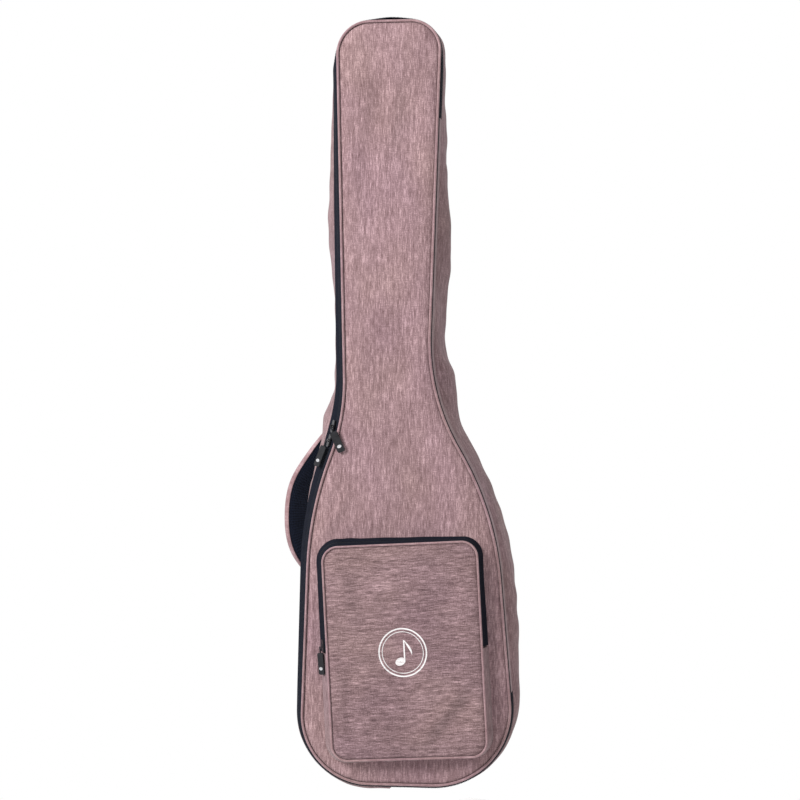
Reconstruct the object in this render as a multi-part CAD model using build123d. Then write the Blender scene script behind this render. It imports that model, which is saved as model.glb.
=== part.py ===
# Padded gig bag for a bass guitar: a zipped, foam-lined soft case.
# Design frame: X to the right from the neck's centre line, Y to the back from mid-depth,
# Z up from the base.  Each piece is moved at the end so that the origin is the hang loop's
# inside top.  Millimetres.
import math
import os

from build123d import *

os.makedirs("parts", exist_ok=True)

# ---- main shell ------------------------------------------------------------------------
FRONT_Y = -45.0          # outer face of the front panel
BACK_Y = 45.0            # outer face of the back panel
PANEL_INSET = 3.0        # panels stop this far inside the piping's centre line
SKIN = 1.5               # outer fabric
FOAM = 8.0               # panel padding
LINING = 1.0
PLY_GAP = 0.1            # between two plies of a panel
PIPING_R = 2.6
# Corners of the front panel's seam, clockwise from the head's top left: x, z, corner radius.
SEAM = [
    (-81, 1190, 50),
    (82, 1190, 46),
    (61, 610, 330),
    (165, 425, 470),
    (199, 4, 120),
    (-140, 4, 105),
    (-124, 425, 540),
    (-68, 575, 330),
]
# How far each of those corners is moved, in x and z, for the back panel: lower and narrower
# at the head, wider at the waist, higher and narrower at the base.
REAR_SHIFT = [(0, -8), (-12, -8), (12, 0), (2, 0), (-14, 12), (4, 12), (-1, 0), (-16, 0)]

# ---- main zip, which runs round the front edge of the gusset ---------------------------
# Outer face of the zip beyond the seam: the zip flares towards the back.
ZIP_FRONT_OUT, ZIP_OUT, ZIP_REAR_OUT = 3.6, 7.5, 12.8
TAPE = 1.2               # tape thickness
FRONT_TAPE_Y = (-42.0, -34.5)
FRONT_COIL_Y = (-34.4, -32.7)
REAR_COIL_Y = (-32.2, -30.5)
REAR_TAPE_Y = (-30.4, -20.0)
COIL_OUT = 1.6           # coil stands this far out of the tape
ZIP_END_TOP = 1041.0     # the zip ends on the right edge at these heights
ZIP_END_LOW = 146.0

# ---- gusset: y, growth beyond the seam, share of the rear shift ------------------------
GUSSET = [(-19.8, 12.9, 0.0), (2.0, 18.0, 0.6), (22.0, 17.0, 1.0), (42.0, 4.0, 1.0)]
GUSSET_WALL = 6.0

# ---- front pocket, in its own tilted frame ---------------------------------------------
POCKET_AT = (28.0, 214.0)
POCKET_TILT = 3.0        # degrees, top leaning to the left
POCKET_W, POCKET_H = 240.0, 330.0
POCKET_R = 24.0
POCKET_DEPTH = 28.0
POCKET_SKIN = 3.0        # outer fabric with a thin backing
POCKET_WALL = 2.0
POCKET_PIPING_R = 2.2
POCKET_COIL = 1.5
POCKET_COIL_OUT = 1.2
POCKET_ZIP_OUT, POCKET_FLARE = 4.5, 9.5      # growth of the side at the coil and at the base

# ---- shoulder straps --------------------------------------------------------------------
STRAP_W = 56.0
STRAP_PLIES = {"mesh": (-6.0, -4.0), "foam": (-3.9, 4.2), "outer": (4.3, 6.0)}
BINDING = 1.6
WEBBING_W = 25.0
WEBBING = 1.8
# Stations of each padded strap: x, y, z of the centre line and the turn of its width
# direction from +X towards +Y, in degrees.
LEFT_STRAP = [
    (-44, 60, 700, 0),
    (-47, 62, 640, 0),
    (-60, 65, 588, 4),
    (-86, 68, 546, 18),
    (-121, 62, 505, 36),
    (-148, 52, 462, 46),
    (-155, 48, 415, 48),
    (-149, 53, 372, 44),
    (-125, 66, 336, 26),
    (-103, 67, 298, 6),
    (-96, 61, 262, 0),
]
RIGHT_STRAP = [
    (44, 60, 700, 0),
    (49, 62, 640, 0),
    (64, 63, 570, 0),
    (87, 63, 490, 0),
    (104, 63, 410, 0),
    (112, 62, 330, 0),
    (112, 61, 262, 0),
]
LEFT_ANCHOR = (-100.0, 112.0)      # x, z of the lower strap anchors
RIGHT_ANCHOR = (120.0, 112.0)
YOKE_Z = (700.5, 752.0)
YOKE_HALF = 70.0
BUCKLE = (38.0, 5.0, 24.0)

# ---- handle and hang loop on the back ---------------------------------------------------
HANDLE_Z = (800.0, 930.0)
HANDLE_REACH = 34.0
HANDLE_W = 28.0
LOOP_Y = 54.0
LOOP_TOP = 1180.0        # inside top of the loop
LOOP_GAP = 9.0           # clear width inside the loop
LOOP_LEG = 62.0
LOOP_W = 25.0

ORIGIN = (0.0, LOOP_Y, LOOP_TOP)


def seam_points(grow=0.0, rear=0.0):
    """Corners and radii of the seam, moved outward by grow, with a share of the rear shift."""
    base = [(x + rear * dx, z + rear * dz, r) for (x, z, r), (dx, dz) in zip(SEAM, REAR_SHIFT)]
    count = len(base)
    corners = []
    for i in range(count):
        before, here, after = base[i - 1], base[i], base[(i + 1) % count]
        a1 = math.atan2(here[1] - before[1], here[0] - before[0])
        a2 = math.atan2(after[1] - here[1], after[0] - here[0])
        turn = (a1 - a2 + math.pi) % (2 * math.pi) - math.pi
        reach = grow / math.cos(turn / 2)
        mid = a1 - turn / 2
        radius = here[2] + (grow if turn > 0 else -grow)
        corners.append((here[0] - reach * math.sin(mid), here[1] + reach * math.cos(mid), radius))
    return corners


def seam_line(grow=0.0, rear=0.0):
    corners = seam_points(grow, rear)
    return FilletPolyline(*[c[:2] for c in corners], radius=[c[2] for c in corners], close=True)


def at_y(y):
    """XZ plane at depth y, facing the front."""
    return Plane((0, y, 0), x_dir=(1, 0, 0), z_dir=(0, -1, 0))


def bag_face(y, grow=0.0, rear=0.0):
    return at_y(y) * make_face(seam_line(grow, rear))


def slab(y0, y1, grow=0.0, rear=0.0):
    """The bag's outline, filled, from depth y0 back to y1."""
    return extrude(bag_face(y1, grow, rear), amount=y1 - y0)


def ring(y0, y1, outer, inner):
    return slab(y0, y1, outer) - slab(y0 - 1, y1 + 1, inner)


def flare(near, far, wall, face=bag_face):
    """Wall between two sections given to face as (y, growth, ...), thickened inward."""
    outer, inner = [
        loft([face(near[0], near[1] - inset, *near[2:]), face(far[0], far[1] - inset, *far[2:])], ruled=True)
        for inset in (0.0, wall)
    ]
    return outer - inner


def block(x, y, z):
    """Box between (low, high) limits on each axis."""
    size = [high - low for low, high in (x, y, z)]
    centre = [(high + low) / 2 for low, high in (x, y, z)]
    return Pos(*centre) * Box(*size)


def in_row(shape):
    return Pos(-ORIGIN[0], -ORIGIN[1], -ORIGIN[2]) * shape


def save(name, *shapes):
    solids = []
    for shape in shapes:
        solids.extend(in_row(shape).solids())
    export_step(solids[0] if len(solids) == 1 else Compound(children=solids), f"parts/{name}.step")


# ---- shell ------------------------------------------------------------------------------
SPINE_ZONE = block((-40, 400), (-100, 100), (ZIP_END_LOW, ZIP_END_TOP))
LEFT_ZONE = block((-400, -40), (-100, 100), (ZIP_END_LOW, ZIP_END_TOP))
TOP_ZONE = block((-400, 400), (-100, 100), (ZIP_END_TOP, 1400))
LOW_ZONE = block((-400, 400), (-100, 100), (-200, ZIP_END_LOW))


def panel(name, outer_y, inward, rear):
    """Outer fabric, foam and lining of the front or back panel, from outside in."""
    depth = outer_y
    for ply, thickness in (("outer", SKIN), ("foam", FOAM), ("lining", LINING)):
        far = depth + inward * thickness
        save(f"{name}_panel_{ply}", slab(min(depth, far), max(depth, far), -PANEL_INSET, rear))
        depth = far + inward * PLY_GAP


def piping(y, rear):
    path = at_y(y) * seam_line(0.0, rear)
    start = Plane(path @ 0, z_dir=path % 0)
    return sweep(start * Circle(PIPING_R), path=path)


def gusset():
    rings = [flare(near, far, GUSSET_WALL) for near, far in zip(GUSSET, GUSSET[1:])]
    return rings[0] + rings[1] + rings[2]


def build_shell():
    panel("back", BACK_Y, -1, 1.0)
    save("back_piping", piping(BACK_Y, 1.0))
    wall = gusset()
    save("gusset_left", wall & LEFT_ZONE)
    save("gusset_head", wall & TOP_ZONE)
    save("gusset_base", wall & LOW_ZONE)
    spine = flare((REAR_COIL_Y[0], ZIP_OUT), (GUSSET[0][0], ZIP_REAR_OUT + 0.1), GUSSET_WALL)
    save("gusset_spine", wall & SPINE_ZONE, spine & SPINE_ZONE)
    tape = flare((REAR_TAPE_Y[0], ZIP_OUT), (REAR_TAPE_Y[1], ZIP_REAR_OUT), TAPE)
    coil = ring(*REAR_COIL_Y, ZIP_OUT + COIL_OUT, ZIP_OUT - TAPE)
    save("zip_rear_tape", tape - SPINE_ZONE)
    save("zip_rear_coil", coil - SPINE_ZONE)


# ---- lid --------------------------------------------------------------------------------
def build_lid():
    panel("front", FRONT_Y, 1, 0.0)
    save("front_piping", piping(FRONT_Y, 0.0))
    tape = flare((FRONT_TAPE_Y[0], ZIP_FRONT_OUT), (FRONT_TAPE_Y[1], ZIP_OUT), TAPE)
    coil = ring(*FRONT_COIL_Y, ZIP_OUT + COIL_OUT, ZIP_OUT - TAPE)
    strip = flare((FRONT_TAPE_Y[0], ZIP_FRONT_OUT), (FRONT_COIL_Y[1], ZIP_OUT), TAPE)
    save("zip_front_tape", tape - SPINE_ZONE)
    save("zip_front_coil", coil - SPINE_ZONE)
    save("spine_front_strip", strip & SPINE_ZONE)


# ---- pocket -----------------------------------------------------------------------------
POCKET_BASE_Y = FRONT_Y - 0.2
POCKET_FRONT_Y = FRONT_Y - POCKET_DEPTH
POCKET_COIL_Y = (POCKET_FRONT_Y + POCKET_BASE_Y) / 2


def in_pocket(shape):
    """Place a shape drawn about the pocket's centre, untilted, on the front panel."""
    return Pos(POCKET_AT[0], 0, POCKET_AT[1]) * Rot(0, -POCKET_TILT, 0) * shape


def pocket_face(y, grow=0.0):
    return at_y(y) * RectangleRounded(POCKET_W + 2 * grow, POCKET_H + 2 * grow, POCKET_R + grow)


def pocket_slab(y0, y1, grow=0.0):
    return extrude(pocket_face(y1, grow), amount=y1 - y0)


def pocket_ring(y0, y1, outer, inner):
    return pocket_slab(y0, y1, outer) - pocket_slab(y0 - 1, y1 + 1, inner)


UPPER_HALF = block((-300, 300), (-200, 100), (0.3, 300))
LOWER_HALF = block((-300, 300), (-200, 100), (-300, -0.3))


def build_pocket():
    skin = pocket_slab(POCKET_FRONT_Y, POCKET_FRONT_Y + POCKET_SKIN, -2.6)
    save("pocket_front_upper", in_pocket(skin & UPPER_HALF))
    save("pocket_front_lower", in_pocket(skin & LOWER_HALF))
    path = at_y(POCKET_FRONT_Y) * RectangleRounded(POCKET_W, POCKET_H, POCKET_R).wire()
    start = Plane(path @ 0, z_dir=path % 0)
    roll = sweep(start * Circle(POCKET_PIPING_R), path=path)
    save("pocket_piping_upper", in_pocket(roll & UPPER_HALF))
    save("pocket_piping_lower", in_pocket(roll & LOWER_HALF))
    tape_front = POCKET_FRONT_Y + POCKET_PIPING_R + 0.2
    side = flare((tape_front, 0.0), (POCKET_BASE_Y, POCKET_FLARE), POCKET_WALL, pocket_face)
    save("pocket_gusset", in_pocket(side & LOWER_HALF))
    front_end = POCKET_COIL_Y - POCKET_COIL - 0.3
    rear_start = POCKET_COIL_Y + POCKET_COIL + 0.3
    front_tape = flare((tape_front, 0.0), (front_end, POCKET_ZIP_OUT), TAPE, pocket_face)
    rear_tape = flare((rear_start, POCKET_ZIP_OUT), (POCKET_BASE_Y, POCKET_FLARE), TAPE, pocket_face)
    coil = (POCKET_ZIP_OUT + POCKET_COIL_OUT, POCKET_ZIP_OUT - TAPE)
    front_coil = pocket_ring(front_end + 0.1, POCKET_COIL_Y - 0.25, *coil)
    rear_coil = pocket_ring(POCKET_COIL_Y + 0.25, rear_start - 0.1, *coil)
    save("pocket_zip_front_tape", in_pocket(front_tape & UPPER_HALF))
    save("pocket_zip_rear_tape", in_pocket(rear_tape & UPPER_HALF))
    save("pocket_zip_front_coil", in_pocket(front_coil & UPPER_HALF))
    save("pocket_zip_rear_coil", in_pocket(rear_coil & UPPER_HALF))


# ---- zip sliders and pulls --------------------------------------------------------------
SLIDER_L, SLIDER_W = 20.0, 10.0
SLIDER_CLEAR = 2.0       # between the middle of the slider's plate and the coil
SLIDER_TILT, POCKET_SLIDER_TILT = 27.0, 18.0     # plates turned to the front with the flare
TAB_FACE = 55.0          # side tabs are turned this far towards the front
PLATE = 1.8
PULL_L, PULL_W, PULL_T = 34.0, 12.0, 2.4
PULL_DROP = 10.5         # from the pivot down to the tab
BAIL_GAP = 1.2           # from the bail out to the pivot
DOT = (7.0, 5.0, 0.5)    # the pull's oval metal dot
BRIDGE_R = 2.6           # the arched bail that the pull hangs from

LOWER_PULL_TURN = 21.0   # lean of the lower slider's tab to the left, degrees
UPPER_PULL_TURN = -24.0  # the upper one's tab leans to the right, across the front panel
POCKET_PULL_TURN = -5.0
UPPER_REACH = 16.0
UPPER_SLIDER_AT = 0.9720     # places on the seam, as fractions of the way round it
LOWER_SLIDER_AT = 0.9638


def slider_frame(fraction):
    """Frame on the zip: x out of the bag, y to the back, z along the zip, upward."""
    line = seam_line(ZIP_OUT + COIL_OUT + SLIDER_CLEAR)
    point, along = line @ fraction, line % fraction
    up = 1 if along.Y > 0 else -1
    middle_y = (FRONT_COIL_Y[0] + REAR_COIL_Y[1]) / 2
    level = Plane(
        (point.X, middle_y, point.Y),
        x_dir=(-up * along.Y, 0, up * along.X),
        z_dir=(up * along.X, 0, up * along.Y),
    )
    return Plane(level.location * Rot(0, 0, SLIDER_TILT))


def slider_body():
    """Outer plate with a nose and an arched bail; local x is outward, z along the zip."""
    plate = Pos(PLATE / 2, 0, 0) * Box(PLATE, SLIDER_W, SLIDER_L)
    plate = fillet(plate.edges().filter_by(Axis.X), 3.0)
    arch = Pos(PLATE - 0.2, 0, 0) * Rot(90, 0, 0) * Cylinder(BRIDGE_R, 5.0)
    hole = Rot(90, 0, 0) * Cylinder(1.2, 8.0)
    arch = arch - Pos(PLATE + 0.4, 0, 0) * hole
    return plate + (arch & block((PLATE - 0.2, 9), (-9, 9), (-9, 9)))


def pull_tab():
    """Flat tab hanging below the origin, with a ring at its top; thin along x."""
    tab = Pos(0, 0, -PULL_DROP - PULL_L / 2) * Box(PULL_T, PULL_W, PULL_L)
    tab = fillet(tab.edges().filter_by(Axis.X), 3.0)
    neck = Pos(0, 0, -PULL_DROP / 2 - 0.5) * Box(1.4, 2.0, PULL_DROP - 0.6)
    return tab + neck


def pull_dot():
    oval = extrude(Plane.YZ * Ellipse(DOT[0] / 2, DOT[1] / 2), amount=DOT[2])
    return Pos(PULL_T / 2 + 0.02, 0, -PULL_DROP - PULL_L * 0.72) * oval


def pull_link():
    """Cord that carries the upper pull's tab forward from the slider, over the piping."""
    length = UPPER_REACH - SLIDER_W / 2 - 1.0
    return Pos(0, length / 2, 0) * Box(1.6, length, 3.0)


def pocket_slider_frame():
    pocket = Pos(POCKET_AT[0], 0, POCKET_AT[1]) * Rot(0, -POCKET_TILT, 0)
    out = POCKET_W / 2 + POCKET_ZIP_OUT + POCKET_COIL_OUT + SLIDER_CLEAR
    return Plane(pocket * Pos(-out, POCKET_COIL_Y, 12.0) * Rot(0, 0, 180 + POCKET_SLIDER_TILT))


def pull_pivot(frame, shift=(0, 0, 0)):
    """Middle of the bail, where the pull turns about the depth axis."""
    bail = frame.location * Pos(PLATE + BRIDGE_R + BAIL_GAP, 0, 0)
    return Pos(*shift) * Location(bail.position)


def lower_pull_pivot():
    return pull_pivot(slider_frame(LOWER_SLIDER_AT))


def upper_pull_pivot():
    return pull_pivot(slider_frame(UPPER_SLIDER_AT), (3.0, -UPPER_REACH, 0))


def pocket_pull_pivot():
    return pull_pivot(pocket_slider_frame())


def build_sliders():
    save("lower_slider", slider_frame(LOWER_SLIDER_AT).location * slider_body())
    save("upper_slider", slider_frame(UPPER_SLIDER_AT).location * slider_body())
    save("pocket_slider", pocket_slider_frame().location * slider_body())
    lower = lower_pull_pivot() * Rot(0, LOWER_PULL_TURN, 0) * Rot(0, 0, 180 + TAB_FACE)
    upper = upper_pull_pivot() * Rot(0, UPPER_PULL_TURN, 0) * Rot(0, 0, -90)
    pocket = pocket_pull_pivot() * Rot(0, POCKET_PULL_TURN, 0) * Rot(0, 0, 180 + TAB_FACE)
    for name, hang in (("lower", lower), ("upper", upper), ("pocket", pocket)):
        save(f"{name}_pull_dot", hang * pull_dot())
    save("lower_pull_tab", lower * pull_tab())
    save("upper_pull_tab", upper * pull_tab() + upper_pull_pivot() * pull_link())
    save("pocket_pull_tab", pocket * pull_tab())


# ---- straps -----------------------------------------------------------------------------
def band(stations, across, through):
    """Ruled band through stations; across is its width span, through its thickness span."""
    faces = []
    for i, (x, y, z, turn) in enumerate(stations):
        before, after = stations[max(i - 1, 0)], stations[min(i + 1, len(stations) - 1)]
        along = Vector(after[0] - before[0], after[1] - before[1], after[2] - before[2]).normalized()
        width = Vector(math.cos(math.radians(turn)), math.sin(math.radians(turn)), 0)
        width = (width - along * width.dot(along)).normalized()
        normal = width.cross(along)
        centre = Vector(x, y, z)
        corners = [
            centre + width * w + normal * t
            for w, t in (
                (across[0], through[0]),
                (across[1], through[0]),
                (across[1], through[1]),
                (across[0], through[1]),
            )
        ]
        faces.append(make_face(Polyline(*corners, close=True)))
    return loft(faces, ruled=True)


def buckle(x, z):
    """Ladder lock: a frame with two cross bars, flat against the strap's end."""
    frame = Pos(x, 62.0, z) * Box(BUCKLE[0], BUCKLE[1], BUCKLE[2])
    for dz in (-6.0, 3.5):
        frame -= Pos(x, 62.0, z + dz) * Box(WEBBING_W + 3, BUCKLE[1] + 2, 5.0)
    return frame


def build_strap(side, stations, anchor):
    half = STRAP_W / 2
    for ply, through in STRAP_PLIES.items():
        save(f"{side}_strap_{ply}", band(stations, (-half, half), through))
    edges = [
        band(stations, (-half - BINDING - 0.1, -half - 0.1), (-6.0, 6.0)),
        band(stations, (half + 0.1, half + 0.1 + BINDING), (-6.0, 6.0)),
    ]
    save(f"{side}_strap_binding", *edges)
    end = stations[-1]
    low_z = end[2] - 4 - BUCKLE[2]
    save(f"{side}_strap_buckle", buckle(end[0], low_z + BUCKLE[2] / 2))
    top = (end[0], 57.0, end[2] - 3.0, 0)
    foot = (anchor[0], 53.0, anchor[1] + 26.0, 0)
    half_web = WEBBING_W / 2
    save(f"{side}_strap_webbing", band([top, foot], (-half_web, half_web), (0.0, WEBBING)))


def build_straps():
    build_strap("left", LEFT_STRAP, LEFT_ANCHOR)
    build_strap("right", RIGHT_STRAP, RIGHT_ANCHOR)
    tabs = []
    for x, z in (LEFT_ANCHOR, RIGHT_ANCHOR):
        corners = [(x - 24, z - 22), (x + 24, z - 22), (x + 14, z + 25), (x - 14, z + 25)]
        tab = make_face(Polyline(*corners, close=True))
        tabs.append(extrude(at_y(BACK_Y + 3.2) * tab, amount=3.0))
    save("strap_anchor_tabs", *tabs)
    yoke = block((-YOKE_HALF, YOKE_HALF), (BACK_Y + 0.2, BACK_Y + 5.2), YOKE_Z)
    save("strap_yoke", fillet(yoke.edges().filter_by(Axis.Y), 8.0))


# ---- handle and hang loop ---------------------------------------------------------------
def arch_line(z0, z1, reach):
    """Handle's side profile in the YZ plane: out from the back, along, and back in."""
    y0 = BACK_Y + 4.0
    points = [(y0, z0), (y0 + reach, z0 + 16), (y0 + reach, z1 - 16), (y0, z1)]
    return FilletPolyline(*points, radius=14)


def build_handle():
    z0, z1 = HANDLE_Z
    line = arch_line(z0, z1, HANDLE_REACH)
    strap = extrude(Plane.YZ * trace_strip(line, 2.4), amount=HANDLE_W / 2, both=True)
    save("carry_handle_webbing", strap)
    middle = (z0 + z1) / 2
    y = BACK_Y + 4.0 + HANDLE_REACH
    grip = Pos(0, y, middle) * Box(HANDLE_W + 10, 13, 76)
    grip = fillet(grip.edges().filter_by(Axis.Z), 5.0)
    core = Pos(0, y, middle) * Box(HANDLE_W + 0.4, 2.8, 90)
    save("carry_handle_grip", grip - core)
    patches = []
    for z in (z0 - 15, z1 + 15):
        patches.append(block((-19, 19), (BACK_Y + 0.2, BACK_Y + 2.2), (z - 13, z + 13)))
    save("handle_anchor_patches", *patches)


def trace_strip(line, thickness):
    """Flat strip of even thickness about an open line."""
    return make_face(offset(line, thickness / 2, side=Side.BOTH, kind=Kind.INTERSECTION))


def build_loop():
    """Webbing loop that stands up flat behind the head, its two legs sewn together below."""
    radius = LOOP_GAP / 2
    outer = SlotOverall(LOOP_LEG + 2 * WEBBING, LOOP_GAP + 2 * WEBBING)
    inner = SlotOverall(LOOP_LEG, LOOP_GAP)
    loop = Rot(0, 0, 90) * (outer - inner)
    centre = Plane((0, LOOP_Y, LOOP_TOP - LOOP_LEG / 2), x_dir=(0, 1, 0), z_dir=(1, 0, 0))
    save("hang_loop", extrude(centre * loop, amount=LOOP_W / 2, both=True))
    low = LOOP_TOP - LOOP_LEG - WEBBING
    face_y = LOOP_Y - radius - WEBBING
    patch = block((-20, 20), (BACK_Y + 0.2, face_y - 0.2), (low, low + 30))
    save("hang_loop_patch", patch)


# ---- padding inside ---------------------------------------------------------------------
INNER_BACK_Y = BACK_Y - SKIN - FOAM - LINING - 2 * PLY_GAP


def build_inside():
    """Neck cradle and end pad, both on the back lining."""
    y1 = INNER_BACK_Y - 0.2
    cradle = block((-52, 42), (y1 - 26, y1), (650, 720))
    notch = Pos(-5, y1 - 30, 685) * Cylinder(28, 80)
    save("neck_cradle", cradle - notch)
    pad = block((-60, 98), (-28, y1), (30, 52))
    save("end_pad", fillet(pad.edges().filter_by(Axis.Y), 8.0))


if __name__ == "__main__":
    build_shell()
    build_lid()
    build_pocket()
    build_sliders()
    build_straps()
    build_handle()
    build_loop()
    build_inside()
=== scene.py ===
"""Looks for the padded gig bag: a zipped, foam-lined soft case with pocket and back straps.

Shapes are worked out in the design frame of the part, in millimetres, with X to the right,
Y to the back and Z up from the base, and moved to the row's frame as each mesh is made.
"""

import math

import bmesh
import bpy
import numpy as np
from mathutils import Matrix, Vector
from mathutils.geometry import delaunay_2d_cdt


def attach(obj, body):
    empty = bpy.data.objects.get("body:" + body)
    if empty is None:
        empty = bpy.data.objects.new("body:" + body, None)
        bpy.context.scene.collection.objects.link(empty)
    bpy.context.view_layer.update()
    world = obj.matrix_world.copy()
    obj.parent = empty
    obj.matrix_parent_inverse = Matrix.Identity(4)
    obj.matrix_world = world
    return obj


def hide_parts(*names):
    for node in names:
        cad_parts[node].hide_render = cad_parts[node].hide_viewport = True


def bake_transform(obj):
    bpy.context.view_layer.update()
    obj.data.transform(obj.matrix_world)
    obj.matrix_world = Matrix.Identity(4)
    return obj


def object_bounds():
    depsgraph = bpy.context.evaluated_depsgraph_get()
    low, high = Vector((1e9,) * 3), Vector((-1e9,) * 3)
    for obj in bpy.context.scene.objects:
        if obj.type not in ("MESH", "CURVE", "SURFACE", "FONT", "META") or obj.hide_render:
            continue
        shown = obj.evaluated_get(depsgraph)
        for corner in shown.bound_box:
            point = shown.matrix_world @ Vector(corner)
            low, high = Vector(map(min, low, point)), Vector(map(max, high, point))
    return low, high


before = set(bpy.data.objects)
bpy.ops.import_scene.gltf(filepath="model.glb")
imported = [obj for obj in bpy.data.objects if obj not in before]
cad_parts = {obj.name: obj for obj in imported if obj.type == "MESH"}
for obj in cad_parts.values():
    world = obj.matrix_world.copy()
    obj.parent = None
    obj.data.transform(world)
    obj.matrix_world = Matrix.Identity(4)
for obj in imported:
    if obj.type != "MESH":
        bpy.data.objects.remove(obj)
CAD_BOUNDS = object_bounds()

ORIGIN = np.array((0.0, 54.0, 1180.0))
FRONT_Y, BACK_Y = -45.0, 45.0
PIPING_R = 2.1
ZIP_TOP, ZIP_LOW = 1041.0, 146.0
TAPE_FRONT, TEETH_FRONT, TEETH_REAR, TAPE_REAR = -42.0, -34.5, -30.4, -20.0
TAPE_THICKNESS = 1.2
WALL_FRONT, WALL_REAR, WALL_THICKNESS = -19.8, 42.0, 6.0
WALL_BULGE, BACK_SEAM_OUT = 18.6, 4.2
PATCH_Y = 45.2
LINING_BACK = 34.1
SEAM = [
    (-81, 1190, 50),
    (82, 1190, 46),
    (61, 610, 330),
    (165, 425, 470),
    (199, 4, 120),
    (-140, 4, 105),
    (-124, 425, 540),
    (-68, 575, 330),
]
REAR_SHIFT = [(0, -8), (-12, -8), (12, 0), (2, 0), (-14, 12), (4, 12), (-1, 0), (-16, 0)]

POCKET_AT = (28.0, 214.0)
POCKET_TILT = math.radians(3.0)
POCKET_W, POCKET_H, POCKET_R = 240.0, 330.0, 24.0
POCKET_FRONT = -73.0
POCKET_BASE = -45.2
POCKET_COIL = -59.1
POCKET_PIPING_R = 1.8

LEFT_STRAP = [
    (-44, 60, 700, 0),
    (-47, 62, 640, 0),
    (-60, 65, 588, 4),
    (-86, 68, 546, 18),
    (-121, 62, 505, 36),
    (-148, 52, 462, 46),
    (-155, 48, 415, 48),
    (-149, 53, 372, 44),
    (-125, 66, 336, 26),
    (-103, 67, 298, 6),
    (-96, 61, 262, 0),
]
RIGHT_STRAP = [
    (44, 60, 700, 0),
    (49, 62, 640, 0),
    (64, 63, 570, 0),
    (87, 63, 490, 0),
    (104, 63, 410, 0),
    (112, 62, 330, 0),
    (112, 61, 262, 0),
]
STRAP_HALF = 28.0
GRIP_LOW, GRIP_TOP = 827.0, 903.0
LEFT_ANCHOR = (-100.0, 112.0)
RIGHT_ANCHOR = (120.0, 112.0)


def row(points):
    """Design millimetres to the row's metres."""
    return (np.asarray(points, float) - ORIGIN) * 0.001


def smooth(t):
    """Eased step: 0 below 0, 1 above 1, with no corners."""
    t = np.clip(t, 0.0, 1.0)
    return t * t * (3 - 2 * t)


def waves(a, b, size, seed):
    """Gentle uneven swell over a surface, about -1 to 1; size is its usual length in mm."""
    rng = np.random.default_rng(seed)
    total = 0.0
    for _ in range(9):
        angle, phase = rng.uniform(0, 2 * math.pi, 2)
        length = size * rng.uniform(0.6, 1.8)
        run = (a * math.cos(angle) + b * math.sin(angle)) * 2 * math.pi / length
        total = total + np.sin(run + phase)
    return total / 3.0


def crease(a, b, at, heading, long, wide):
    """A soft ridge, 1 at its middle, lying along a heading (degrees) and fading at its ends."""
    turn = math.radians(heading)
    u = (a - at[0]) * math.cos(turn) + (b - at[1]) * math.sin(turn)
    v = (b - at[1]) * math.cos(turn) - (a - at[0]) * math.sin(turn)
    v = v + 0.12 * long * np.sin(u / long * 2.2)
    return np.exp(-((u / long) ** 2) - (v / wide) ** 2)


def pulls(x, z, creases):
    """Sum of creases, each with the height of its ridge in mm first."""
    return sum(height * crease(x, z, *where) for height, *where in creases)


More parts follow.
